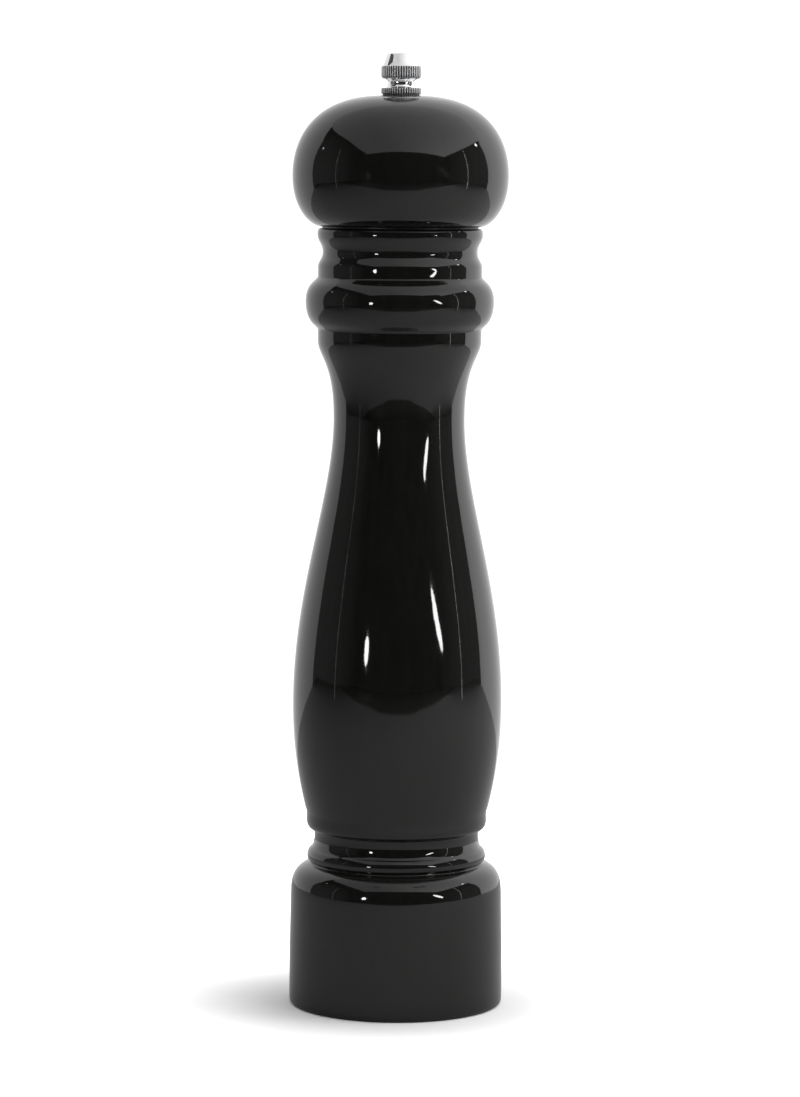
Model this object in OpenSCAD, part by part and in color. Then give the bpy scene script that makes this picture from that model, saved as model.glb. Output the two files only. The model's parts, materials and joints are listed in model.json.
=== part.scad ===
// Tall turned pepper mill with a conical burr grinder.
// Millimetres, +Z up. The origin is the centre of the face that the foot stands on.

/* [Body] */
// Radius of the foot at its widest
foot_r = 35.8; // [34.5:0.1:37]
// Height of the foot, up to the groove above its shoulder
foot_h = 47.7; // [46:0.1:48]
// Radius of the barrel at the belly
belly_r = 34.95; // [33.5:0.05:36]
// Height of the belly above the table
belly_z = 101.5; // [95:0.5:110]
// Radius of the waist
waist_r = 21.8; // [21:0.1:24]
// Height of the waist above the table
waist_z = 197; // [190:0.5:200]
// Radius of the large bead below the neck
bead_r = 31.3; // [29.5:0.1:32]
// Height of the body at its rim
body_h = 260; // [259.5:0.1:260.5]

/* [Head] */
// Radius of the ball
ball_r = 35.85; // [34:0.05:37]
// Height of the seat on top of the ball, where the knob rests
ball_top_z = 303.7; // [302:0.1:305]
// Radius of the tenon under the ball
tenon_r = 18.6; // [17:0.1:18.7]

/* [Knob] */
// Height of the knob
knob_h = 13.8; // [13:0.1:16]
// Radius over the knurls
knurl_r = 6.6; // [6:0.1:7.5]
// Teeth in each knurled band
knurl_teeth = 48; // [30:1:54]

/* [Grinder] */
// Width across the flats of the square shaft
shaft_w = 6; // [5:0.1:6.1]
// Radius of the rotor at its widest
rotor_r = 15; // [14:0.1:15.1]
// Coarse feed teeth on the rotor
coarse_teeth = 8; // [6:1:10]
// Fine teeth on the rotor
fine_teeth = 24; // [16:1:30]
// Screws in each ring of screws
screw_count = 3; // [2:1:4]

/* [Hidden] */
$fn = 96;
// How far a cut runs past the face that it opens
cut = 1;
// How far joined shapes run into each other
weld = 0.5;

// Bores in the body, from the bottom up
recess_r = 26.2;
recess_h = 14;
seat_r = 18.9;
seat_top_z = 35.2;
hopper_r = 13.5;
socket_r = 19;
socket_z = 240.4;
key_w = 4;
key_out = 2;
key_root = 1;
key_h = 14;
key_gap = 0.1;

// Head
ring_t = 0.6;
head_z = body_h + ring_t;
tenon_z = 243;
tenon_edge = 0.8;
head_hole_r = 4.6;
stud_hole_r = 2.9;
stud_hole_z = 288;

// Glide ring
glide_in_r = 18.75;
glide_out_r = 25.9;

// Drive plate
plate_r = 14.6;
plate_t = 1.4;
plate_hole_w = shaft_w + 0.3;
drive_screw_pitch_r = 10.6;
drive_screw_r = 1.5;
drive_screw_head_r = 2.9;
drive_screw_l = 14;

// Shaft
shaft_z = 14;
shaft_top_z = 284;
stud_r = 2.5;
stud_top_z = 313;
stud_point = 0.8;
clip_z = 46.8;
clip_t = 0.8;
clip_r = 6.6;
clip_groove_r = 2.7;
clip_mouth_w = 4;

// Knob
knob_bore_r = 2.55;
knob_bore_top_z = 314.6;
knurl_depth = 0.45;

// Bridge and its bush
bridge_ring_z = 34;
bridge_t = 1.2;
bridge_w = 6;
leg_x = 11.4;
bar_z = 43;
boss_r = 7;
bush_r = 5.2;
bush_bore_r = 4.3;
bush_flange_r = 6.6;
bush_flange_t = 1;

// Spring and thrust washer
wire_r = 0.55;
coil_r = 5.6;
dead_rise = 1.15;
dead_turns = 1;
live_turns = 3;
washer_r = 7.4;
washer_t = 0.8;
washer_bore_r = 4.5;

// Burrs
burr_z = 14;
burr_top_z = 34;
rotor_top_z = 32.2;
rotor_top_r = 8;
band_z = 20;
band_rise = 1.4;
burr_gap = 0.35;
throat_r = 13.5;
skew = 18;
feed_depth = 1.6;
feed_half_w = 2.4;
fine_depth = 0.5;
fine_half_w = 0.9;

// Rotor fixing
rotor_screw_r = 2;
rotor_screw_head_r = 3.8;
rotor_screw_l = 9;
rotor_washer_r = 6;
rotor_washer_t = 1;

// Retainer ring and its screws
retainer_r = 25.6;
retainer_in_r = 15.9;
retainer_t = 1.2;
retainer_screw_pitch_r = 22.2;
retainer_screw_r = 1.6;
retainer_screw_head_r = 2.9;
retainer_screw_l = 11;
pan_head_h = 1.7;
slot_w = 0.8;
slot_depth = 1;

// Points of a cubic curve from a to d after a, steered by b and c
function curve(a, b, c, d, n = 10) = [
    for (i = [1:n])
        let (t = i / n, s = 1 - t)
        s * s * s * a + 3 * s * s * t * b + 3 * s * t * t * c + t * t * t * d
];

// Foot: a fillet at the table, a slightly tapered side and a round shoulder
foot_top = [foot_r - 0.4, foot_h - 11.7];
foot_outline = concat(
    [[foot_r - 1.3, 0]],
    curve([foot_r - 1.3, 0], [foot_r - 0.5, 0], [foot_r - 0.05, 0.6], [foot_r - 0.05, 1.6], 6),
    [[foot_r, 4], [foot_r - 0.1, 20]],
    [foot_top],
    curve(foot_top, foot_top + [0, 6.7], [foot_r - 1.1, foot_h - 2.2], [29.4, foot_h], 14)
);

// Groove, small ring, cove and the round lip of the barrel
groove = [29.1, foot_h + 0.4];
lip_r = 30.2;
ring_outline = concat(
    [groove],
    curve(groove, [30.3, 48.9], [30.3, 51.7], [28.6, 52.8]),
    curve([28.6, 52.8], [27.6, 53.6], [27.2, 57.2], [27.8, 59]),
    curve([27.8, 59], [29.3, 59.2], [lip_r, 60], [lip_r, 62.4], 8),
    [[lip_r, 64.6]]
);

// Barrel: out to the belly, in to the waist, out to the collar
collar = [27.2, 223];
barrel_outline = concat(
    curve([lip_r, 64.6], [31.4, 70.5], [belly_r, 82.4], [belly_r, belly_z], 12),
    curve([belly_r, belly_z], [belly_r, belly_z + 39.2], [waist_r, waist_z - 26.3],
        [waist_r, waist_z], 24),
    curve([waist_r, waist_z], [waist_r, 215.8], [collar[0], 217.3], collar, 14)
);

// Large bead between two creases
bead_z = 235.8;
bead_outline = concat(
    [[collar[0], 226.4], [27.5, 226.9]],
    curve([27.5, 226.9], [28, 227.7], [bead_r, 229], [bead_r, bead_z], 12),
    curve([bead_r, bead_z], [bead_r, 241.5], [28, 242.5], [27.25, 243.9], 12)
);

// Flat ring, cove and the small bead at the rim
cove_r = 25.7;
rim_r = 27.45;
rim_outline = concat(
    [[27.25, 247]],
    curve([27.25, 247], [27.25, 249.2], [cove_r, 249.6], [cove_r, 252.1]),
    curve([cove_r, 252.1], [cove_r, 254.9], [rim_r, 255.3], [rim_r, body_h - 2]),
    curve([rim_r, body_h - 2], [rim_r, body_h - 0.6], [rim_r - 0.3, body_h], [rim_r - 1.2, body_h], 6)
);

body_outline = concat(
    [[0, 0]],
    foot_outline,
    ring_outline,
    barrel_outline,
    bead_outline,
    rim_outline,
    [[0, body_h]]
);

module mill_body() {
    color([0.02, 0.02, 0.02])
    difference() {
        rotate_extrude() polygon(body_outline);
        translate([0, 0, -cut]) cylinder(h = recess_h + cut, r = recess_r);
        translate([0, 0, recess_h - cut]) cylinder(h = seat_top_z - recess_h + cut, r = seat_r);
        cylinder(h = body_h, r = hopper_r);
        translate([0, 0, socket_z]) cylinder(h = body_h, r = socket_r);
        stator_keys(key_gap);
        for (i = [1:screw_count]) retainer_screw_shank(i);
    }
}

// Lugs that stop the stator turning; grow widens them into their slots
module stator_keys(grow = 0) {
    for (turn = [0, 180])
        rotate([0, 0, turn])
            translate([-key_w / 2 - grow, seat_r - key_root, burr_z])
                cube([key_w + 2 * grow, key_root + key_out, key_h + grow]);
}

// A V groove cut along a cone between two (radius, height) points, cut to a depth
module tooth_groove(low, high, depth, width, turn, side = 1) {
    run = high - low;
    length = norm(run);
    middle = (low + high) / 2;
    lean = atan2(run[0], run[1]);
    rotate([0, 0, turn])
    translate([middle[0], 0, middle[1]])
    rotate([0, lean, 0])
    rotate([skew, 0, 0])
    translate([0, 0, -length * 0.6])
    linear_extrude(length * 1.2)
        polygon([[-side * depth, 0], [side * depth, -width], [side * depth, width]]);
}

band_low = [rotor_r, burr_z];
band_high = [rotor_r - band_rise, band_z];
feed_high = [rotor_top_r, rotor_top_z];

module rotor_burr() {
    color([0.55, 0.55, 0.57])
    difference() {
        rotate_extrude()
            polygon([[0, burr_z], band_low, band_high, feed_high, [0, rotor_top_z]]);
        translate([-shaft_w / 2, -shaft_w / 2, 0]) cube([shaft_w, shaft_w, body_h]);
        for (i = [0:coarse_teeth - 1])
            tooth_groove(band_high, feed_high, feed_depth, feed_half_w, i * 360 / coarse_teeth);
        for (i = [0:fine_teeth - 1])
            tooth_groove(band_low, band_high, fine_depth, fine_half_w, i * 360 / fine_teeth);
    }
}

module stator_burr() {
    low = band_low + [burr_gap, 0];
    high = band_high + [burr_gap, 0];
    color([0.5, 0.5, 0.52])
    union() {
        difference() {
            rotate_extrude()
                polygon([low, [seat_r, burr_z], [seat_r, burr_top_z], [throat_r, burr_top_z], high]);
            for (i = [0:coarse_teeth - 1])
                tooth_groove(high, [throat_r, burr_top_z], feed_depth, feed_half_w,
                    (i + 0.5) * 360 / coarse_teeth, -1);
            for (i = [0:fine_teeth - 1])
                tooth_groove(low, high, fine_depth, fine_half_w, (i + 0.5) * 360 / fine_teeth, -1);
        }
        stator_keys();
    }
}

// Plain ring between two radii
module ring(out_r, in_r, low_z, t) {
    translate([0, 0, low_z])
    difference() {
        cylinder(h = t, r = out_r);
        translate([0, 0, -cut]) cylinder(h = t + 2 * cut, r = in_r);
    }
}

module on_pitch_circle(pitch_r, i) {
    rotate([0, 0, (i - 0.5) * 360 / screw_count])
        translate([pitch_r, 0, 0])
            children();
}

module burr_retainer() {
    color([0.75, 0.75, 0.77])
    difference() {
        ring(retainer_r, retainer_in_r, recess_h - retainer_t, retainer_t);
        for (i = [1:screw_count]) retainer_screw_shank(i);
    }
}

module retainer_screw_shank(i) {
    on_pitch_circle(retainer_screw_pitch_r, i)
        translate([0, 0, recess_h - retainer_t])
            cylinder(h = retainer_screw_l, r = retainer_screw_r, $fn = 32);
}

module retainer_screw(i) {
    color([0.8, 0.8, 0.82])
    difference() {
        union() {
            retainer_screw_shank(i);
            on_pitch_circle(retainer_screw_pitch_r, i)
                translate([0, 0, recess_h - retainer_t - pan_head_h])
                    pan_head(retainer_screw_head_r);
        }
        on_pitch_circle(retainer_screw_pitch_r, i)
            translate([0, 0, recess_h - retainer_t - pan_head_h])
                cross_slot(retainer_screw_head_r);
    }
}

// Domed head, its dome at z = 0 and its flat side up
module pan_head(r) {
    rotate_extrude($fn = 48)
        polygon(concat(
            [[0, 0], [r * 0.5, 0]],
            curve([r * 0.5, 0], [r * 0.85, 0], [r, pan_head_h * 0.3], [r, pan_head_h * 0.7], 6),
            [[r, pan_head_h], [0, pan_head_h]]
        ));
}

// Cross recess in the head of a screw of radius r
module cross_slot(r) {
    for (turn = [0, 90])
        rotate([0, 0, turn])
            translate([-r * 0.55, -slot_w / 2, -cut])
                cube([r * 1.1, slot_w, slot_depth + cut]);
}

module bridge() {
    color([0.72, 0.72, 0.74])
    union() {
        ring(seat_r - 0.1, hopper_r, bridge_ring_z, bridge_t);
        for (side = [0, 180]) rotate([0, 0, side]) {
            translate([leg_x, -bridge_w / 2, bridge_ring_z])
                cube([hopper_r + weld - leg_x, bridge_w, bridge_t]);
            translate([leg_x, -bridge_w / 2, bridge_ring_z])
                cube([bridge_t, bridge_w, bar_z + bridge_t - bridge_ring_z]);
        }
        difference() {
            union() {
                translate([-leg_x - weld, -bridge_w / 2, bar_z])
                    cube([2 * (leg_x + weld), bridge_w, bridge_t]);
                translate([0, 0, bar_z]) cylinder(h = bridge_t, r = boss_r);
            }
            translate([0, 0, bar_z - cut]) cylinder(h = bridge_t + 2 * cut, r = bush_r);
        }
    }
}

module bridge_bush() {
    color([0.9, 0.9, 0.86])
    difference() {
        union() {
            translate([0, 0, bar_z]) cylinder(h = bridge_t, r = bush_r);
            translate([0, 0, bar_z - bush_flange_t]) cylinder(h = bush_flange_t, r = bush_flange_r);
        }
        translate([0, 0, bar_z - bush_flange_t - cut])
            cylinder(h = bush_flange_t + bridge_t + 2 * cut, r = bush_bore_r);
    }
}

module glide_ring() {
    color([0.03, 0.03, 0.03]) ring(glide_out_r, glide_in_r, body_h, ring_t);
}

// Ball: a quick round underside, full at the middle, and a broad flat crown
ball_z = 277.3;
ball_foot = [27.4, head_z];
crown = [6.9, ball_top_z];
ball_outline = concat(
    [[0, tenon_z], [tenon_r - tenon_edge, tenon_z], [tenon_r, tenon_z + tenon_edge]],
    [[tenon_r, head_z], ball_foot],
    curve(ball_foot, [31.5, head_z + 1.4], [ball_r, 267.9], [ball_r, ball_z], 16),
    curve([ball_r, ball_z], [ball_r, 290.8], [27.7, ball_top_z - 0.4], crown, 24),
    [[0, ball_top_z]]
);

module head() {
    color([0.02, 0.02, 0.02])
    difference() {
        rotate_extrude() polygon(ball_outline);
        translate([0, 0, tenon_z - cut])
            cylinder(h = stud_hole_z - tenon_z + cut, r = head_hole_r);
        cylinder(h = 2 * ball_top_z, r = stud_hole_r);
        for (i = [1:screw_count]) drive_screw_body(i);
    }
}

module drive_plate() {
    color([0.75, 0.75, 0.77])
    difference() {
        translate([0, 0, tenon_z - plate_t]) cylinder(h = plate_t, r = plate_r);
        translate([-plate_hole_w / 2, -plate_hole_w / 2, 0]) cube([plate_hole_w, plate_hole_w, body_h]);
        for (i = [1:screw_count]) drive_screw_body(i);
    }
}

module drive_screw_body(i) {
    on_pitch_circle(drive_screw_pitch_r, i)
        translate([0, 0, tenon_z - plate_t]) {
            cylinder(h = plate_t, r1 = drive_screw_head_r, r2 = drive_screw_r, $fn = 32);
            cylinder(h = drive_screw_l, r = drive_screw_r, $fn = 32);
        }
}

module drive_screw(i) {
    color([0.8, 0.8, 0.82])
    difference() {
        drive_screw_body(i);
        on_pitch_circle(drive_screw_pitch_r, i)
            translate([0, 0, tenon_z - plate_t])
                cross_slot(drive_screw_head_r);
    }
}

// Knob: two knurled bands, a waist between them and a cone on top
band_top_z = 9.5;
knob_outline = [
    [0, 0], [knurl_r - 0.7, 0], [knurl_r, 0.7], [knurl_r, 2.3], [knurl_r - 0.1, 2.4],
    [4.8, 2.4], [4.4, 4.6]
];
knob_top = [
    [knurl_r, 6.3], [knurl_r, band_top_z], [knurl_r - 0.1, band_top_z + 0.1],
    [knurl_r - 0.5, band_top_z + 0.1],
    [4.5, knob_h - 0.1], [4.4, knob_h], [0, knob_h]
];

module knob() {
    color([0.85, 0.85, 0.87])
    translate([0, 0, ball_top_z])
    difference() {
        rotate_extrude()
            polygon(concat(
                knob_outline,
                curve([4.4, 4.6], [5.4, 4.7], [6.3, 5.2], [knurl_r, 6.1], 8),
                knob_top
            ));
        for (i = [0:knurl_teeth - 1])
            rotate([0, 0, i * 360 / knurl_teeth])
                knurl_groove();
        translate([0, 0, -cut])
            cylinder(h = knob_bore_top_z - ball_top_z + cut, r = knob_bore_r, $fn = 48);
    }
}

module knurl_groove() {
    flank = PI * knurl_r / knurl_teeth;
    translate([0, 0, -cut])
        linear_extrude(band_top_z + 0.3 + cut)
            polygon([[knurl_r - knurl_depth, 0], [knurl_r + 0.1, -flank], [knurl_r + 0.1, flank]]);
}

module thrust_washer() {
    color([0.8, 0.8, 0.82]) ring(washer_r, washer_bore_r, rotor_top_z, washer_t);
}

// Helical spring: one flat turn at each end and open turns between
spring_low_z = rotor_top_z + washer_t + wire_r;
spring_high_z = bar_z - bush_flange_t - wire_r;
spring_turns = 2 * dead_turns + live_turns;
rings_per_turn = 20;
wire_sides = 8;

function wire_z(turn) = lookup(turn, [
    [0, spring_low_z],
    [dead_turns, spring_low_z + dead_rise],
    [dead_turns + live_turns, spring_high_z - dead_rise],
    [spring_turns, spring_high_z]
]);

module spring() {
    rings = spring_turns * rings_per_turn;
    points = [
        for (i = [0:rings], k = [0:wire_sides - 1])
            let (turn = i / rings_per_turn, side = k * 360 / wire_sides, r = coil_r + wire_r * cos(side))
            [r * cos(360 * turn), r * sin(360 * turn), wire_z(turn) + wire_r * sin(side)]
    ];
    skin = [
        for (i = [0:rings - 1], k = [0:wire_sides - 1])
            let (a = i * wire_sides, next = (k + 1) % wire_sides)
            [a + k, a + wire_sides + k, a + wire_sides + next, a + next]
    ];
    ends = [
        [for (k = [0:wire_sides - 1]) k],
        [for (k = [wire_sides - 1:-1:0]) rings * wire_sides + k]
    ];
    color([0.7, 0.7, 0.72]) polyhedron(points, concat(skin, ends));
}

module shaft() {
    color([0.78, 0.78, 0.8])
    difference() {
        union() {
            translate([-shaft_w / 2, -shaft_w / 2, shaft_z])
                cube([shaft_w, shaft_w, shaft_top_z - shaft_z]);
            rotate_extrude($fn = 48)
                polygon([
                    [0, shaft_top_z - weld], [stud_r, shaft_top_z - weld],
                    [stud_r, stud_top_z - stud_point], [stud_r - stud_point, stud_top_z],
                    [0, stud_top_z]
                ]);
        }
        ring(2 * shaft_w, clip_groove_r, clip_z, clip_t);
        rotor_screw_shank();
    }
}

module retaining_clip() {
    color([0.6, 0.6, 0.62])
    difference() {
        ring(clip_r, clip_groove_r, clip_z, clip_t);
        translate([0, -clip_mouth_w / 2, clip_z - cut])
            cube([2 * clip_r, clip_mouth_w, clip_t + 2 * cut]);
    }
}

module rotor_washer() {
    color([0.8, 0.8, 0.82])
    ring(rotor_washer_r, rotor_screw_r, burr_z - rotor_washer_t, rotor_washer_t);
}

module rotor_screw_shank() {
    translate([0, 0, burr_z - rotor_washer_t])
        cylinder(h = rotor_screw_l, r = rotor_screw_r, $fn = 32);
}

module rotor_screw() {
    head_low_z = burr_z - rotor_washer_t - pan_head_h;
    color([0.8, 0.8, 0.82])
    difference() {
        union() {
            rotor_screw_shank();
            translate([0, 0, head_low_z]) pan_head(rotor_screw_head_r);
        }
        translate([0, 0, head_low_z]) cross_slot(rotor_screw_head_r);
    }
}

mill_body();
stator_burr();
burr_retainer();
for (i = [1:screw_count])
    retainer_screw(i);
bridge();
bridge_bush();
glide_ring();
head();
drive_plate();
for (i = [1:screw_count])
    drive_screw(i);
knob();
thrust_washer();
spring();
shaft();
retaining_clip();
rotor_burr();
rotor_washer();
rotor_screw();
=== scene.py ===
import json
import math
import bmesh
import bpy
import numpy as np
from mathutils import Matrix, Vector

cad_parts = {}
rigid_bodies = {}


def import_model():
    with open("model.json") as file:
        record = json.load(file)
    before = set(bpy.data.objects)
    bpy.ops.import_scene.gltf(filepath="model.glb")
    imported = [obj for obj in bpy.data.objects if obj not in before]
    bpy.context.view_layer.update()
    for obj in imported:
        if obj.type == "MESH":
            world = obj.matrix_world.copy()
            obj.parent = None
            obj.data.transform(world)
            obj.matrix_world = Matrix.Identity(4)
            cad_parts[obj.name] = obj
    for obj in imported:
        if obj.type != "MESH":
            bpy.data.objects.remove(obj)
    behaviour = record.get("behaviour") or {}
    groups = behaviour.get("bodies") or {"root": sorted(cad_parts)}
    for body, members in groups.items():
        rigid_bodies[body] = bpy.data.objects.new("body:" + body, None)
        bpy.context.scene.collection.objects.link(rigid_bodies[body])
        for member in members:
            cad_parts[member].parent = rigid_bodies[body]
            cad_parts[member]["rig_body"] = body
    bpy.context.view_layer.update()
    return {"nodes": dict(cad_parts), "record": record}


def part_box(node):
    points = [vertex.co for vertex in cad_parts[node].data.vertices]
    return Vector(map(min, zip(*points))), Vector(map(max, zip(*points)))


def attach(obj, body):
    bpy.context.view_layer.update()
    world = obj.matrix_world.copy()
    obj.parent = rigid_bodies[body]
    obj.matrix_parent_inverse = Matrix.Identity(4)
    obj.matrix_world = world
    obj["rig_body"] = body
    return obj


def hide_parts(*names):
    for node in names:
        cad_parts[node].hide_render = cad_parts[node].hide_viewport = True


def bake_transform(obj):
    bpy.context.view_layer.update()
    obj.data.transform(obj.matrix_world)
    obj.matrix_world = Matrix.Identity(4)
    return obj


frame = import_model()
nodes = frame["nodes"]

MM = 0.001
TURNS = 192


# ---------------------------------------------------------------- outlines

def rings(node, least=24):
    """(radius, height) of every circle about Z in a CAD node's mesh, lowest first."""
    co = np.array([v.co for v in nodes[node].data.vertices])
    pairs = np.round(np.c_[np.hypot(co[:, 0], co[:, 1]), co[:, 2]], 5)
    found, count = np.unique(pairs, axis=0, return_counts=True)
    found = found[count >= least]
    return found[np.lexsort((found[:, 0], found[:, 1]))]


def spline(points, sub):
    """A natural cubic through the points, with sub steps in each stretch."""
    points = np.array(points)
    step = np.hypot(*np.diff(points, axis=0).T)
    t = np.r_[0, np.cumsum(step)]
    n = len(points)
    if n < 3:
        return points
    system, right = np.eye(n), np.zeros((n, 2))
    for i in range(1, n - 1):
        a, b = step[i - 1], step[i]
        system[i, i - 1:i + 2] = a, 2 * (a + b), b
        right[i] = 6 * ((points[i + 1] - points[i]) / b - (points[i] - points[i - 1]) / a)
    bend = np.linalg.solve(system, right)
    out = []
    for i in range(n - 1):
        h = step[i]
        for s in np.arange(sub) / sub:
            u, v = 1 - s, s
            out.append(u * points[i] + v * points[i + 1]
                       + ((u ** 3 - u) * bend[i] + (v ** 3 - v) * bend[i + 1]) * h * h / 6)
    out.append(points[-1])
    return np.array(out)


def smooth_outline(points, crease=math.radians(21), step=0.00025, soften=0.00016):
    """A turned outline through the CAD's rings: smooth between creases, which get a tiny radius."""
    points = np.array(points)
    heading = np.arctan2(*np.diff(points, axis=0).T[::-1])
    turn = np.abs((np.diff(heading) + math.pi) % (2 * math.pi) - math.pi)
    cuts = [0] + [i + 1 for i in range(len(turn)) if turn[i] > crease] + [len(points) - 1]
    fine = [spline(points[a:b + 1], 24) for a, b in zip(cuts, cuts[1:])]
    line = np.concatenate([fine[0]] + [f[1:] for f in fine[1:]])
    t = np.r_[0, np.cumsum(np.hypot(*np.diff(line, axis=0).T))]
    even = np.linspace(0, t[-1], int(t[-1] / step))
    line = np.c_[np.interp(even, t, line[:, 0]), np.interp(even, t, line[:, 1])]
    reach = int(3 * soften / step) + 2
    weight = np.exp(-0.5 * (np.arange(-reach, reach + 1) * step / soften) ** 2)
    padded = np.pad(line, ((reach, reach), (0, 0)), mode="reflect", reflect_type="odd")
    return np.c_[np.convolve(padded[:, 0], weight / weight.sum(), "valid"),
                 np.convolve(padded[:, 1], weight / weight.sum(), "valid")]


def thin_out(line, most_turn=math.radians(3.0), most_step=0.0025):
    """Drops points where the line is nearly straight."""
    kept = [line[0]]
    heading = np.unwrap(np.arctan2(*np.diff(line, axis=0).T[::-1]))
    start, base = 0, heading[0]
    for i in range(1, len(line) - 1):
        if abs(heading[i] - base) > most_turn or np.hypot(*(line[i] - line[start])) > most_step:
            kept.append(line[i])
            start, base = i, heading[i]
    kept.append(line[-1])
    return [tuple(p) for p in kept]


# ---------------------------------------------------------------- mesh helpers

def new_object(name, bm, materials):
    bmesh.ops.recalc_face_normals(bm, faces=bm.faces)
    mesh = bpy.data.meshes.new(name)
    bm.to_mesh(mesh)
    bm.free()
    for m in materials:
        mesh.materials.append(m)
    mesh.polygons.foreach_set("use_smooth", [True] * len(mesh.polygons))
    obj = bpy.data.objects.new(name, mesh)
    bpy.context.scene.collection.objects.link(obj)
    return obj


def lathe(name, outline, materials, turns=TURNS, zone=None, closed=True, wave=None, sharp=40):
    """Revolves (radius, height) stations about Z. zone(r, z) picks the material of a stretch,
    and wave(angle, r, z) moves a station's radius round the turn."""
    bm = bmesh.new()
    loops = []
    for r, z in outline:
        if r < 1e-7:
            loops.append([bm.verts.new((0, 0, z))])
            continue
        loop = []
        for k in range(turns):
            a = 2 * math.pi * k / turns
            radius = r if wave is None else wave(a, r, z)
            loop.append(bm.verts.new((radius * math.cos(a), radius * math.sin(a), z)))
        loops.append(loop)
    pairs = list(zip(range(len(loops)), range(1, len(loops))))
    if closed and len(loops[0]) > 1 and len(loops[-1]) > 1:
        pairs.append((len(loops) - 1, 0))
    for i, j in pairs:
        a, b = loops[i], loops[j]
        middle = [(outline[i][c] + outline[j][c]) / 2 for c in (0, 1)]
        index = 0 if zone is None else zone(*middle)
        for k in range(turns):
            n = (k + 1) % turns
            if len(a) == 1:
                face = (a[0], b[k], b[n])
            elif len(b) == 1:
                face = (a[k], a[n], b[0])
            else:
                face = (a[k], a[n], b[n], b[k])
            bm.faces.new(face).material_index = index
    obj = new_object(name, bm, materials)
    mark_sharp(obj, sharp)
    return obj


def mark_sharp(obj, degrees):
    """Edges that turn by more than this stay crisp when the piece is shaded smooth."""
    bm = bmesh.new()
    bm.from_mesh(obj.data)
    for e in bm.edges:
        e.smooth = not (len(e.link_faces) == 2 and e.calc_face_angle() > math.radians(degrees))
    bm.to_mesh(obj.data)
    bm.free()


# ---------------------------------------------------------------- materials

class Finish:
    """A node material with a few short calls for the textures that the finishes share."""

    def __init__(self, name, **sockets):
        self.mat = bpy.data.materials.new(name)
        self.mat.use_nodes = True
        self.tree = self.mat.node_tree
        self.shader = self.tree.nodes["Principled BSDF"]
        self.place = self.add("ShaderNodeTexCoord").outputs["Object"]
        for key, value in sockets.items():
            self.shader.inputs[key.replace("_", " ")].default_value = value

    def add(self, kind, **settings):
        node = self.tree.nodes.new(kind)
        for key, value in settings.items():
            setattr(node, key, value)
        return node

    def link(self, source, target):
        self.tree.links.new(source, target)
        return self

    def noise(self, scale, stretch=(1, 1, 1), detail=3, warp=0.0):
        mapping = self.add("ShaderNodeMapping")
        mapping.inputs["Scale"].default_value = stretch
        self.link(self.place, mapping.inputs["Vector"])
        node = self.add("ShaderNodeTexNoise")
        node.inputs["Scale"].default_value = scale
        node.inputs["Detail"].default_value = detail
        node.inputs["Roughness"].default_value = 0.5
        node.inputs["Distortion"].default_value = warp
        self.link(mapping.outputs["Vector"], node.inputs["Vector"])
        return node.outputs["Fac"]

    def spread(self, source, low, high, start=0.3, end=0.7):
        node = self.add("ShaderNodeMapRange")
        for key, value in (("From Min", start), ("From Max", end), ("To Min", low), ("To Max", high)):
            node.inputs[key].default_value = value
        self.link(source, node.inputs["Value"])
        return node.outputs["Result"]

    def mix(self, share, first, second):
        node = self.add("ShaderNodeMix", data_type="RGBA")
        for socket, value in ((node.inputs["A"], first), (node.inputs["B"], second)):
            if isinstance(value, tuple):
                socket.default_value = (*value, 1)
            else:
                self.link(value, socket)
        self.link(share, node.inputs["Factor"])
        return node.outputs["Result"]

    def bump(self, height, distance, before=None):
        node = self.add("ShaderNodeBump")
        node.inputs["Strength"].default_value = 1.0
        node.inputs["Distance"].default_value = distance
        self.link(height, node.inputs["Height"])
        if before is not None:
            self.link(before, node.inputs["Normal"])
        self.link(node.outputs["Normal"], self.shader.inputs["Normal"])
        return node.outputs["Normal"]

    def colour(self, source):
        self.link(source, self.shader.inputs["Base Color"])
        return self

    def roughness(self, source):
        self.link(source, self.shader.inputs["Roughness"])
        return self


def black_lacquer():
    """Thick gloss lacquer over turned wood: the grain telegraphs through as faint upright ripples."""
    f = Finish("black_lacquer", IOR=1.5)
    grain = f.noise(520, (1, 1, 0.035), detail=4)
    peel = f.noise(300, detail=2)
    dust = f.noise(2600, detail=2)
    f.colour(f.mix(f.spread(grain, 0, 1), (0.0065, 0.0065, 0.0060), (0.0100, 0.0098, 0.0090)))
    f.roughness(f.spread(dust, 0.03, 0.06))
    first = f.bump(grain, 7e-6)
    f.bump(peel, 6e-6, before=first)
    return f.mat


def chrome():
    """Polished plate with the faint rings of the lathe under it."""
    f = Finish("chrome", Metallic=1.0)
    lines = f.noise(700, (0.02, 0.02, 4), detail=2)
    haze = f.noise(900, detail=3)
    f.colour(f.mix(f.spread(haze, 0, 1), (0.80, 0.80, 0.81), (0.88, 0.88, 0.89)))
    f.roughness(f.spread(haze, 0.05, 0.10))
    f.bump(lines, 1.5e-6)
    return f.mat


def dull_plate(name, low, high, rough):
    """The knob's plate where it is knurled, in a lit and a shaded copy. Lands are rough and painted paler
    as light, grooves smoother and painted dark as shade.
    """
    f = Finish(name, Metallic=1.0)
    haze = f.noise(1800, detail=3)
    f.colour(f.mix(f.spread(haze, 0, 1), low, high))
    f.roughness(f.spread(haze, *rough))
    f.bump(haze, 3e-6)
    return f.mat


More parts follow.
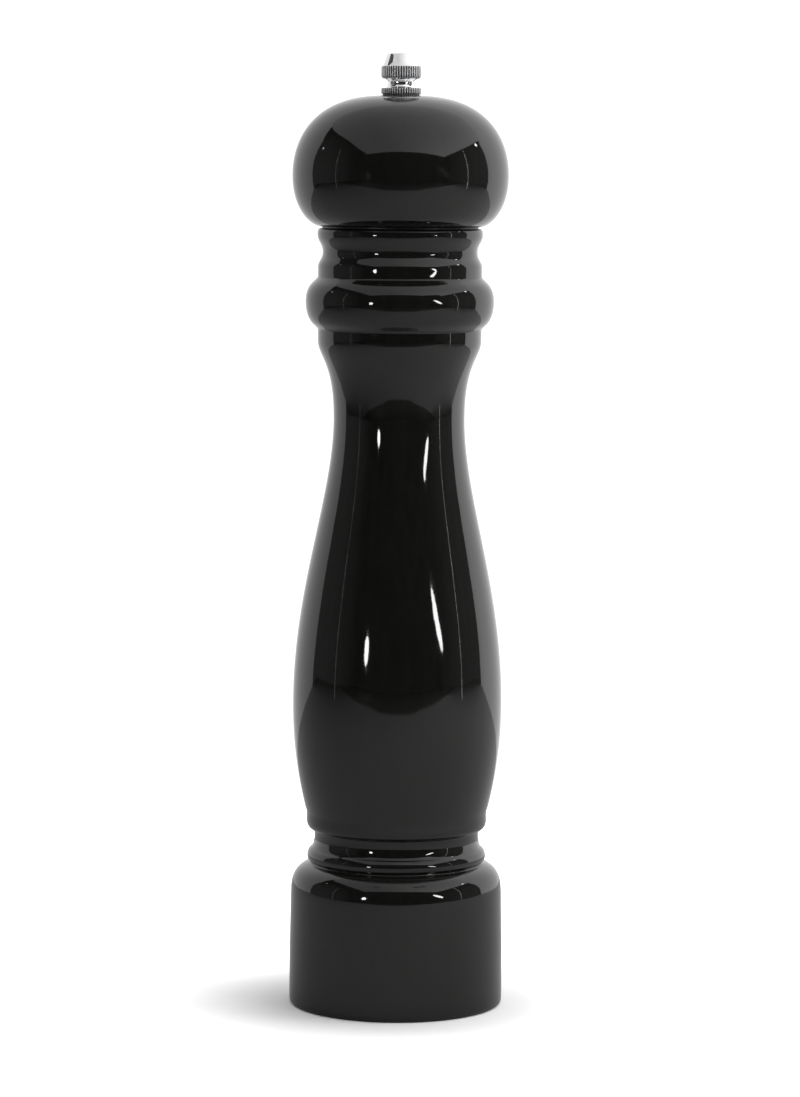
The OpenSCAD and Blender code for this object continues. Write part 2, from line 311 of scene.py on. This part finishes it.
def raw_wood():
    """Bare beech inside the bores: straight grain with short dark flecks."""
    f = Finish("raw_wood", Roughness=0.62)
    grain = f.noise(420, (1, 1, 0.05), detail=5, warp=0.2)
    fleck = f.noise(900, (1, 1, 0.12), detail=2)
    base = f.mix(f.spread(grain, 0, 1), (0.44, 0.26, 0.13), (0.62, 0.42, 0.25))
    f.colour(f.mix(f.spread(fleck, 0, 0.6, 0.56, 0.66), base, (0.27, 0.14, 0.07)))
    f.roughness(f.spread(grain, 0.55, 0.75))
    f.bump(grain, 6e-5)
    return f.mat


def steel(name, low, high, rough, bump=2e-6, stretch=(1, 1, 1), scale=1400):
    """Bare or plated steel, with fine tool marks and slightly uneven dullness."""
    f = Finish(name, Metallic=1.0)
    marks = f.noise(scale, stretch, detail=3)
    cloud = f.noise(260, detail=3)
    f.colour(f.mix(f.spread(cloud, 0, 1), low, high))
    f.roughness(f.spread(marks, *rough))
    f.bump(marks, bump)
    return f.mat


def nylon(name, low, high, rough):
    f = Finish(name, IOR=1.53)
    cloud = f.noise(300, detail=2)
    fine = f.noise(2400, detail=2)
    f.colour(f.mix(f.spread(cloud, 0, 1), low, high))
    f.roughness(f.spread(fine, *rough))
    f.bump(fine, 4e-6)
    return f.mat


LACQUER = black_lacquer()
CHROME = chrome()
# Lit and shaded copies of the knurl's plate: lands painted paler as light, grooves painted dark as shade.
LAND = dull_plate("chrome_land_painted_light", (0.92, 0.92, 0.93), (0.97, 0.97, 0.98), (0.62, 0.74))
GROOVE = dull_plate("chrome_groove_painted_shade", (0.20, 0.20, 0.20), (0.32, 0.32, 0.31), (0.30, 0.42))
WOOD = raw_wood()
BURR = steel("burr_steel", (0.22, 0.22, 0.23), (0.36, 0.35, 0.34), (0.32, 0.5), 6e-6)
PLATED = steel("plated_steel", (0.56, 0.57, 0.60), (0.70, 0.70, 0.71), (0.18, 0.32))
WIRE = steel("spring_steel", (0.40, 0.40, 0.41), (0.55, 0.55, 0.56), (0.2, 0.34))
BAR = steel("aluminium", (0.66, 0.67, 0.69), (0.78, 0.78, 0.79), (0.22, 0.38), 3e-6, (3, 3, 0.03), 700)
WHITE_NYLON = nylon("white_nylon", (0.74, 0.72, 0.66), (0.82, 0.81, 0.77), (0.35, 0.5))
BLACK_NYLON = nylon("black_nylon", (0.010, 0.010, 0.010), (0.018, 0.018, 0.018), (0.3, 0.45))

BY_SLOT = {
    "black_lacquer": LACQUER, "chrome": CHROME, "burr_steel": BURR, "plated_steel": PLATED,
    "spring_steel": WIRE, "aluminium": BAR, "white_nylon": WHITE_NYLON, "black_nylon": BLACK_NYLON,
}

for part in frame["record"]["subparts"]:
    mesh = nodes[part["node"]].data
    mesh.materials.clear()
    mesh.materials.append(BY_SLOT[part["material_slot"]])


# ---------------------------------------------------------------- turned wood

BORES_WITHIN = 20.5 * MM
FOOT_WITHIN = 33.5 * MM
FOOT_HIDES = 30 * MM
SOCKET_FROM, RECESS_TO, BORES_TO = 200 * MM, 14.5 * MM, 245 * MM


def turned_body():
    """The body as one closed section: outside, mouth, socket, hopper, seat, recess and foot."""
    every = [tuple(p) for p in rings("mill_body")]
    outer = [p for p in every if p[0] > BORES_WITHIN and not (p[1] < FOOT_HIDES and p[0] < FOOT_WITHIN)]
    top = outer[-1][1]
    recess = max(r for r, z in every if z == 0 and r < outer[0][0])
    inside = [p for p in every if p not in outer and 0 < p[1] < top]
    socket = max(r for r, z in every if z > top - 1e-5 and r < outer[-1][0] - MM)
    edge = 0.6 * MM
    section = thin_out(smooth_outline(outer))
    section += [(socket + edge, top), (socket, top - edge)]
    for z in sorted({z for r, z in inside}, reverse=True):
        above = section[-1][0]
        section += sorted((p for p in inside if p[1] == z), key=lambda p: abs(p[0] - above))
    section += [(recess, edge), (recess + edge, 0.0)]
    return section, socket, recess


body_section, SOCKET_R, RECESS_R = turned_body()


def body_zone(r, z):
    """Lacquer outside, round the rim and under the foot; bare wood in the bores."""
    in_socket = z > SOCKET_FROM and r < SOCKET_R + 0.3 * MM
    in_recess = z < RECESS_TO and r < RECESS_R + 0.2 * MM
    deep = z < BORES_TO and r < BORES_WITHIN
    return 1 if in_socket or in_recess or deep else 0


mill_body = lathe("mill_body_turned", body_section, [LACQUER, WOOD], zone=body_zone)
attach(mill_body, "base")
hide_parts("mill_body")


BALL_TOP_FROM, HOLES_WITHIN = 280 * MM, 4.8 * MM
WOOD_TO, WOOD_WITHIN = 303.5 * MM, 4.7 * MM
TENON_EASE = 0.8 * MM


def turned_head():
    """Ball, tenon and the stepped hole for the shaft and its stud."""
    low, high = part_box("head")
    all_rings = rings("head")
    tenon = max(r for r, z in all_rings if z < low.z + 3 * MM)
    foot_z = min(z for r, z in all_rings if r > tenon + 3 * MM)
    ball = [p for p in all_rings if p[1] >= foot_z - 1e-6 and p[0] > tenon + 0.1 * MM
            or p[1] > BALL_TOP_FROM and p[0] > HOLES_WITHIN]
    outer = sorted(ball, key=lambda p: p[1])
    holes = sorted({r for r, z in all_rings if r < 5 * MM})
    step_z = min(z for r, z in all_rings if abs(r - holes[0]) < 1e-5)
    section = [(holes[-1], low.z), (tenon - TENON_EASE, low.z), (tenon, low.z + TENON_EASE),
               (tenon, foot_z)]
    section += thin_out(smooth_outline(outer))
    section += [(holes[0], high.z), (holes[0], step_z), (holes[-1], step_z)]
    return section, tenon, foot_z


head_section, TENON_R, BALL_FOOT_Z = turned_head()


def head_zone(r, z):
    """Lacquer on the ball; bare wood in the shaft's hole and on the tenon."""
    in_hole = r < WOOD_WITHIN and z < WOOD_TO
    on_tenon = z < BALL_FOOT_Z + 1e-5 and r < TENON_R + MM
    return 1 if in_hole or on_tenon else 0


head = lathe("head_turned", head_section, [LACQUER, WOOD], zone=head_zone)
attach(head, "head")
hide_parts("head")


# ---------------------------------------------------------------- knob

KNURL_TEETH = 48
KNURL_DEPTH = 0.5 * MM
KNURL_STEPS = 16
# Shares of half a tooth: where the flat crest ends, and where the flank reaches the groove's floor.
CREST, FLANK_END = 0.40, 0.90
# Share of the depth below which a face counts as groove and gets the plate painted dark as shade.
GROOVE_FROM = 0.25
BAND_TOP = 9.6 * MM
BAND_RADIUS = 6.6
BLIND_DEPTH = 10.9 * MM


def widest(node):
    return max(math.hypot(v.co.x, v.co.y) for v in nodes[node].data.vertices)


def knob():
    """Two knurled bands, a waist and a plain cone, turned from one bar and bored from below."""
    low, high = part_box("knob")
    r = widest("knob")
    bore = min(math.hypot(v.co.x, v.co.y) for v in nodes["knob"].data.vertices if v.co.z < low.z + MM)
    groove_floor = r - KNURL_DEPTH
    # (radius, height) in millimetres over a band of 6.6 mm radius
    outline = [(5.8, 0), (6.6, 0.7), (6.6, 2.25), (6.45, 2.42), (4.9, 2.48), (4.6, 2.9), (4.42, 3.7),
               (4.4, 4.55), (4.8, 4.95), (5.6, 5.3), (6.2, 5.7), (6.6, 6.3), (6.6, 9.4), (6.4, 9.58),
               (6.1, 9.62), (4.62, 13.45), (4.5, 13.68), (4.2, 13.78), (3.0, 13.8)]
    stations = [(p * r / BAND_RADIUS, low.z + z * MM) for p, z in outline]
    shape = smooth_outline(stations, math.radians(4), 0.05 * MM, 0.06 * MM)
    section = [(bore, low.z + BLIND_DEPTH), (bore, low.z + 0.2 * MM), (bore + 0.2 * MM, low.z)]
    section += thin_out(shape, math.radians(7), 1.2 * MM)
    section = [(0, low.z + BLIND_DEPTH)] + section + [(0, high.z)]

    def sunk(a):
        across = 2 * abs((KNURL_TEETH * a / (2 * math.pi)) % 1 - 0.5)
        return min(1, max(0, (across - CREST) / (FLANK_END - CREST)))

    def knurled(a, radius, z):
        if z > low.z + BAND_TOP or radius < groove_floor:
            return radius
        return min(radius, r - KNURL_DEPTH * sunk(a))

    piece = lathe("knob_turned", section, [CHROME, LAND, GROOVE], KNURL_TEETH * KNURL_STEPS,
                  closed=False, wave=knurled, sharp=32)
    # Faces deep in the grooves get the copy painted dark as shade; the lands get the paler copy, painted
    # light.
    for face in piece.data.polygons:
        x, y, z = face.center
        upright = face.normal.to_2d().length > 0.5
        if upright and math.hypot(x, y) > groove_floor - 0.1 * MM and z < low.z + BAND_TOP:
            face.material_index = 2 if sunk(math.atan2(y, x)) > GROOVE_FROM else 1
    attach(piece, "knob")
    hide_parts("knob")


knob()


# ---------------------------------------------------------------- shaft and spring

BAR_HALF = 3.0 * MM
BAR_CHAMFER = 0.48 * MM
THREAD_PITCH = 0.8 * MM
THREAD_DEPTH = 0.42 * MM
THREAD_STEPS = 8
BAR_TOP = 284 * MM
STUD_RADIUS, SCREW_HOLE, CLIP_GROOVE = 2.5 * MM, 2.0 * MM, 2.7 * MM


def shaft():
    """Square bar with eased corners, a groove for the clip, and a threaded stud on top."""
    low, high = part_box("shaft")
    clip_low, clip_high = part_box("retaining_clip")
    screw_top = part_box("rotor_screw")[1].z
    ease = 0.25 * MM
    section = [(0, screw_top), (SCREW_HOLE, screw_top), (SCREW_HOLE, low.z), (BAR_HALF - ease, low.z),
               (BAR_HALF, low.z + ease), (BAR_HALF, clip_low.z), (CLIP_GROOVE, clip_low.z),
               (CLIP_GROOVE, clip_high.z), (BAR_HALF, clip_high.z), (BAR_HALF, BAR_TOP - ease),
               (BAR_HALF - ease, BAR_TOP), (STUD_RADIUS - THREAD_DEPTH, BAR_TOP)]
    thread_low, thread_high = BAR_TOP + THREAD_PITCH, high.z - 0.8 * MM
    count = int((thread_high - thread_low) / THREAD_PITCH * THREAD_STEPS)
    section.append((STUD_RADIUS - THREAD_DEPTH, thread_low))
    section += [(STUD_RADIUS, thread_low + (thread_high - thread_low) * i / count)
                for i in range(1, count + 1)]
    section += [(STUD_RADIUS - 0.7 * MM, high.z), (0, high.z)]
    corner = (2 * BAR_HALF - BAR_CHAMFER) / math.sqrt(2)

    def outside(a, r, z):
        if r > CLIP_GROOVE + 1e-6:
            flat = max(abs(math.cos(a)), abs(math.sin(a)))
            slant = (abs(math.cos(a)) + abs(math.sin(a))) / math.sqrt(2)
            return min(r / flat, corner / slant)
        if z > thread_low and r > STUD_RADIUS - 1e-6:
            phase = ((z - thread_low) / THREAD_PITCH - a / (2 * math.pi)) % 1
            return r - THREAD_DEPTH * min(1, 1.2 * abs(2 * phase - 1))
        return r

    piece = lathe("shaft_machined", section, [BAR], 72, closed=False, wave=outside, sharp=28)
    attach(piece, "shaft")
    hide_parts("shaft")


def sweep(name, path, radius, sides, material):
    """Round wire along a path that winds about Z."""
    bm = bmesh.new()
    loops = []
    for i, centre in enumerate(path):
        ahead = (path[min(i + 1, len(path) - 1)] - path[max(i - 1, 0)]).normalized()
        out = Vector((centre.x, centre.y, 0)).normalized()
        up = ahead.cross(out).normalized()
        out = up.cross(ahead)
        loops.append([bm.verts.new(centre + radius * (math.cos(t) * out + math.sin(t) * up))
                      for t in (2 * math.pi * k / sides for k in range(sides))])
    for a, b in zip(loops, loops[1:]):
        for k in range(sides):
            n = (k + 1) % sides
            bm.faces.new((a[k], a[n], b[n], b[k]))
    bm.faces.new(loops[0][::-1])
    bm.faces.new(loops[-1])
    piece = new_object(name, bm, [material])
    mark_sharp(piece, 40)
    return piece


def spring():
    """Closed and ground at both ends, with three open turns."""
    low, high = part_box("spring")
    wire, turns, closed_rise, per_turn = 0.55 * MM, 5, 1.15 * MM, 40
    coil = high.x - wire
    bottom, top = low.z + wire, high.z - wire
    stops = [0, 1, turns - 1, turns]
    heights = [bottom, bottom + closed_rise, top - closed_rise, top]
    path = []
    for i in range(turns * per_turn + 1):
        t = i / per_turn
        path.append(Vector((coil * math.cos(2 * math.pi * t), coil * math.sin(2 * math.pi * t),
                            float(np.interp(t, stops, heights)))))
    piece = sweep("spring_wound", path, wire * 0.98, 14, WIRE)
    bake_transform(piece)
    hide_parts("spring")


shaft()
spring()


# ---------------------------------------------------------------- small metal parts, edges eased

def eased(node, width, corner=math.radians(30)):
    """A copy of a CAD part with its machined corners broken by a small round."""
    bm = bmesh.new()
    bm.from_mesh(nodes[node].data)
    bmesh.ops.remove_doubles(bm, verts=bm.verts, dist=2e-6)
    bmesh.ops.dissolve_limit(bm, angle_limit=math.radians(1), verts=bm.verts, edges=bm.edges)
    crisp = [e for e in bm.edges if len(e.link_faces) == 2 and e.calc_face_angle() > corner]
    bmesh.ops.bevel(bm, geom=crisp, offset=width, segments=2, profile=0.5, affect="EDGES",
                    clamp_overlap=True, offset_type="OFFSET")
    bmesh.ops.remove_doubles(bm, verts=bm.verts, dist=1e-7)
    part = next(p for p in frame["record"]["subparts"] if p["node"] == node)
    piece = new_object(node + "_eased", bm, [BY_SLOT[part["material_slot"]]])
    mark_sharp(piece, 38)
    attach(piece, nodes[node]["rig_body"])
    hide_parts(node)


# Width of the broken edge on each part, in millimetres.
EASED = {
    "burr_retainer": 0.15, "bridge": 0.15, "bridge_bush": 0.15, "glide_ring": 0.12, "drive_plate": 0.2,
    "thrust_washer": 0.15, "retaining_clip": 0.12, "rotor_washer": 0.15, "stator_burr": 0.06,
    "rotor_burr": 0.06,
}

for name, width in EASED.items():
    eased(name, width * MM)


# ---------------------------------------------------------------- stage, light and camera

RAMP_LEFT, RAMP_RIGHT = -0.2, 0.9
ROOM_DIM = 0.03


def on_stage(name, mesh, material):
    """Adds a mesh that is not part of the object."""
    mesh.materials.append(material)
    obj = bpy.data.objects.new(name, mesh)
    bpy.context.scene.collection.objects.link(obj)
    return obj


def emitter(name, corners, strength, right=None):
    """A card that lights the scene and shows in the gloss but not to the camera.
    With right given, its strength changes to that value across X."""
    mesh = bpy.data.meshes.new(name)
    mesh.from_pydata([Vector(c) for c in corners], [], [tuple(range(len(corners)))])
    mat = bpy.data.materials.new(name)
    mat.use_nodes = True
    tree = mat.node_tree
    tree.nodes.clear()
    out = tree.nodes.new("ShaderNodeOutputMaterial")
    glow = tree.nodes.new("ShaderNodeEmission")
    glow.inputs["Strength"].default_value = strength
    if right is not None:
        place = tree.nodes.new("ShaderNodeTexCoord")
        split = tree.nodes.new("ShaderNodeSeparateXYZ")
        ramp = tree.nodes.new("ShaderNodeMapRange")
        for key, value in (("From Min", RAMP_LEFT), ("From Max", RAMP_RIGHT),
                           ("To Min", strength), ("To Max", right)):
            ramp.inputs[key].default_value = value
        tree.links.new(place.outputs["Object"], split.inputs[0])
        tree.links.new(split.outputs["X"], ramp.inputs["Value"])
        tree.links.new(ramp.outputs["Result"], glow.inputs["Strength"])
    tree.links.new(glow.outputs["Emission"], out.inputs["Surface"])
    obj = on_stage(name, mesh, mat)
    obj.visible_camera = False
    return obj


TABLE_FRONT, TABLE_BACK, TABLE_SIDE = -2.2, 0.40, 2.2
# The ceiling's corners are given for a rise of 1 m over the ball and shrink with the rise.
RISE = 0.6
CEILING_Z = 0.28 + RISE
CEILING = [(-1.37, -1.75), (2.0, -1.74), (1.75, 0.66), (1.4, 0.8), (-0.9, 0.7), (-1.1, 0.4)]
CEILING_LIGHT = 0.70, 1.52
BACK_LEFT, BACK_RIGHT, BACK_TOP = -1.35, 1.45, 1.0
BACK_LIGHT = 0.9, 1.65

# (distance, grey) over the table: as gloss and bounced light find it, with painted shade that darkens it
# near the mill, and dark past 0.91 m, where it stands for the room beyond its front edge; and as the
# camera does.
TABLE_PAPER_AND_SHADE = [(0, 0.58), (0.20, 0.60), (0.84, 0.68), (0.91, 0.15), (2.2, 0.15)]
# For the camera the grey is low close to the foot, a painted shadow round it, and rises to overexposed
# white further out.
TABLE_SEEN = [(0, 1.15), (0.045, 1.15), (0.085, 1.9), (0.6, 3.0), (2.2, 12.0)]
# Half width and depth of the painted shadow that brings the table's dark far part nearer in the middle.
SHADOW_HALF, SHADOW_DEPTH = 0.48, 0.08
HOLE_R = 33.5 * MM
FLOOR_TURNS = 256


def graded(tree, distance, stops):
    """A grey that follows a distance over the table."""
    scale = tree.nodes.new("ShaderNodeMath")
    scale.operation = "DIVIDE"
    scale.inputs[1].default_value = -TABLE_FRONT
    fade = tree.nodes.new("ShaderNodeValToRGB")
    first, last = fade.color_ramp.elements
    for element, (at, shade) in zip((first, last), (stops[0], stops[-1])):
        element.position = at / -TABLE_FRONT
        element.color = (shade, shade, shade, 1)
    for at, shade in stops[1:-1]:
        fade.color_ramp.elements.new(at / -TABLE_FRONT).color = (shade, shade, shade, 1)
    tree.links.new(distance, scale.inputs[0])
    tree.links.new(scale.outputs[0], fade.inputs["Fac"])
    return fade.outputs["Color"]


def reach(tree, place):
    """How far a point of the table is from the middle of the mill."""
    length = tree.nodes.new("ShaderNodeVectorMath")
    length.operation = "LENGTH"
    tree.links.new(place, length.inputs[0])
    return length.outputs["Value"]


def depth(tree, place):
    """Distance in front of the mill, counted longer near the middle so the far edge darkens sooner there:
    a painted shadow in the middle of the table.
    """
    split = tree.nodes.new("ShaderNodeSeparateXYZ")
    aside = tree.nodes.new("ShaderNodeMath")
    aside.operation = "ABSOLUTE"
    shade = tree.nodes.new("ShaderNodeMapRange")
    shade.interpolation_type = "SMOOTHSTEP"
    for key, value in (("From Min", SHADOW_HALF / 2), ("From Max", SHADOW_HALF),
                       ("To Min", SHADOW_DEPTH), ("To Max", 0)):
        shade.inputs[key].default_value = value
    total = tree.nodes.new("ShaderNodeMath")
    total.operation = "SUBTRACT"
    tree.links.new(place, split.inputs[0])
    tree.links.new(split.outputs["X"], aside.inputs[0])
    tree.links.new(aside.outputs[0], shade.inputs["Value"])
    tree.links.new(shade.outputs["Result"], total.inputs[0])
    tree.links.new(split.outputs["Y"], total.inputs[1])
    return total.outputs[0]


def floor():
    """Pale table with a hole under the foot, so light from below reaches the underside.
    The camera sees it overexposed, as the gloss never does, and from below not at all. Both greys carry
    painted shade: darker near the mill for the gloss, and a painted shadow round the foot for the camera."""
    bm = bmesh.new()
    inner, outer = [], []
    for k in range(FLOOR_TURNS):
        a = 2 * math.pi * k / FLOOR_TURNS
        across, along = math.cos(a), math.sin(a)
        inner.append(bm.verts.new((HOLE_R * across, HOLE_R * along, 0)))
        room = min(TABLE_SIDE / max(abs(across), 1e-9),
                   (TABLE_BACK if along > 0 else -TABLE_FRONT) / max(abs(along), 1e-9))
        outer.append(bm.verts.new((room * across, room * along, 0)))
    for k in range(FLOOR_TURNS):
        n = (k + 1) % FLOOR_TURNS
        bm.faces.new((inner[k], outer[k], outer[n], inner[n]))
    mat = bpy.data.materials.new("table")
    mat.use_nodes = True
    tree = mat.node_tree
    tree.nodes.clear()
    out = tree.nodes.new("ShaderNodeOutputMaterial")
    paper_and_shade, seen, clear = (tree.nodes.new(kind) for kind in
                          ("ShaderNodeBsdfDiffuse", "ShaderNodeBsdfDiffuse", "ShaderNodeBsdfTransparent"))
    place = tree.nodes.new("ShaderNodeTexCoord").outputs["Object"]
    # Painted shade: gloss and bounced light find the table darker near the mill, and dark sooner in the
    # middle under a painted shadow.
    tree.links.new(graded(tree, depth(tree, place), TABLE_PAPER_AND_SHADE), paper_and_shade.inputs["Color"])
    # Painted shadow: the camera's grey is low round the foot.
    tree.links.new(graded(tree, reach(tree, place), TABLE_SEEN), seen.inputs["Color"])
    pick, side = (tree.nodes.new("ShaderNodeMixShader") for _ in range(2))
    path = tree.nodes.new("ShaderNodeLightPath")
    facing = tree.nodes.new("ShaderNodeNewGeometry")
    tree.links.new(facing.outputs["Backfacing"], side.inputs[0])
    tree.links.new(seen.outputs[0], side.inputs[1])
    tree.links.new(clear.outputs[0], side.inputs[2])
    tree.links.new(path.outputs["Is Camera Ray"], pick.inputs[0])
    tree.links.new(paper_and_shade.outputs[0], pick.inputs[1])
    tree.links.new(side.outputs[0], pick.inputs[2])
    tree.links.new(pick.outputs[0], out.inputs["Surface"])
    mesh = bpy.data.meshes.new("table")
    bm.normal_update()
    bm.to_mesh(mesh)
    bm.free()
    on_stage("table", mesh, mat)


def surroundings():
    """White to the camera; to everything else a dim room, lighter far to either side."""
    world = bpy.data.worlds.new("studio")
    bpy.context.scene.world = world
    world.use_nodes = True
    tree = world.node_tree
    back = tree.nodes["Background"]
    path = tree.nodes.new("ShaderNodeLightPath")
    pick = tree.nodes.new("ShaderNodeMix")
    pick.data_type = "RGBA"
    place = tree.nodes.new("ShaderNodeTexCoord")
    split = tree.nodes.new("ShaderNodeSeparateXYZ")
    aside = tree.nodes.new("ShaderNodeMath")
    aside.operation = "ABSOLUTE"
    shade = tree.nodes.new("ShaderNodeMapRange")
    for key, value in (("From Min", 0.75), ("From Max", 1.0), ("To Min", ROOM_DIM), ("To Max", 0.17)):
        shade.inputs[key].default_value = value
    tree.links.new(place.outputs["Generated"], split.inputs[0])
    tree.links.new(split.outputs["X"], aside.inputs[0])
    tree.links.new(aside.outputs[0], shade.inputs["Value"])
    tree.links.new(shade.outputs["Result"], pick.inputs["A"])
    pick.inputs["B"].default_value = (1.2, 1.2, 1.2, 1)
    tree.links.new(path.outputs["Is Camera Ray"], pick.inputs["Factor"])
    tree.links.new(pick.outputs["Result"], back.inputs["Color"])


floor()
surroundings()
emitter("ceiling", [(x * RISE, y * RISE, CEILING_Z) for x, y in CEILING], *CEILING_LIGHT)
emitter("backdrop", [(BACK_LEFT, TABLE_BACK, 0), (BACK_RIGHT, TABLE_BACK, 0),
                     (BACK_RIGHT, TABLE_BACK, BACK_TOP), (BACK_LEFT, TABLE_BACK, BACK_TOP)],
        *BACK_LIGHT)


AIM = Vector((0, 0, 0.16))


def toward(azimuth, elevation, distance):
    """A point in a direction from the middle of the mill; azimuth 0 is in front, 90 to its right."""
    a, e = math.radians(azimuth), math.radians(elevation)
    return Vector((math.sin(a) * math.cos(e), -math.cos(a) * math.cos(e), math.sin(e))) * distance + AIM


def card(name, azimuth, elevation, distance, width, height, strength, lean=0):
    """A white card that faces the middle of the mill. Lamps are oval, long stands are straight."""
    centre = toward(azimuth, elevation, distance)
    facing = (AIM - centre).normalized()
    across = facing.cross(Vector((0, 0, 1))).normalized()
    up = across.cross(facing).normalized()
    turn = Matrix.Rotation(math.radians(lean), 3, facing)
    across, up = turn @ across * width / 2, turn @ up * height / 2
    square = [(-1, -1), (1, -1), (1, 1), (-1, 1)]
    oval = [(math.cos(k * math.pi / 8), math.sin(k * math.pi / 8)) for k in range(16)]
    shape = square if height > 4 * width else oval
    return emitter(name, [centre + across * x + up * y for x, y in shape], strength)


def flag(azimuth, half, low, high):
    """Keeps a front lamp out of the ball's gloss, as a studio flag does; as dim as the room behind."""
    edge = [Vector((math.sin(a), -math.cos(a), 0)) * FLAG_BACK
            for a in (math.radians(azimuth + side * half) for side in (-1, 1))]
    obj = emitter("flag", [p + Vector((0, 0, z)) for p, z in
                           zip(edge + edge[::-1], (low, low, high, high))], ROOM_DIM)
    obj.visible_diffuse = obj.visible_shadow = False


FLAG_BACK = 0.15
flag(-31, 6, 0.262, 0.290)
flag(38, 10, 0.262, 0.306)

# azimuth, elevation, distance, width, height, strength and lean; angles in degrees
LAMPS = {
    "lamp_front_left": (-35, 3.5, 1.6, 0.13, 0.17, 26, 20),
    "lamp_front_right": (47, 8, 1.6, 0.105, 0.40, 24, -45),
    "lamp_left": (-98, 30, 0.85, 0.03, 0.03, 6),
    "lamp_right": (98, 34, 0.85, 0.04, 0.04, 22),
    "stand_left": (-72, 0, 1.2, 0.006, 1.4, 2.2),
    "stand_right": (75, 0, 1.2, 0.008, 1.4, 6.0),
}
for name, place in LAMPS.items():
    card(name, *place)
key = card("key", 82, 47, 0.9, 0.5, 0.5, 5.5)
key.visible_glossy = False
UNDER_HALF, UNDER_Z, UNDER_LIGHT = 0.4, -0.35, 1.1
emitter("under", [(x * UNDER_HALF, y * UNDER_HALF, UNDER_Z)
                  for x, y in ((-1, -1), (1, -1), (1, 1), (-1, 1))], UNDER_LIGHT)

CAMERA_BACK, CAMERA_UP = 1.329, 0.28525
CAMERA_YAW = math.atan(0.0006 / CAMERA_BACK)
CAMERA_PITCH, CAMERA_ROLL = math.radians(5.667), math.radians(0.38)
CAMERA_SENSOR, CAMERA_LENS = 36, 131.26709
camera_data = bpy.data.cameras.new("camera")
camera_data.sensor_width = CAMERA_SENSOR
camera_data.lens = CAMERA_LENS
camera_data.clip_start = 0.01
camera_data.clip_end = 50
camera = bpy.data.objects.new("camera", camera_data)
bpy.context.scene.collection.objects.link(camera)
camera.matrix_world = (Matrix.Translation((0, -CAMERA_BACK, CAMERA_UP))
                       @ Matrix.Rotation(-CAMERA_YAW, 4, "Z")
                       @ Matrix.Rotation(math.pi / 2 - CAMERA_PITCH, 4, "X")
                       @ Matrix.Rotation(CAMERA_ROLL, 4, "Z"))
bpy.context.scene.camera = camera
bpy.context.scene.view_settings.view_transform = "Standard"
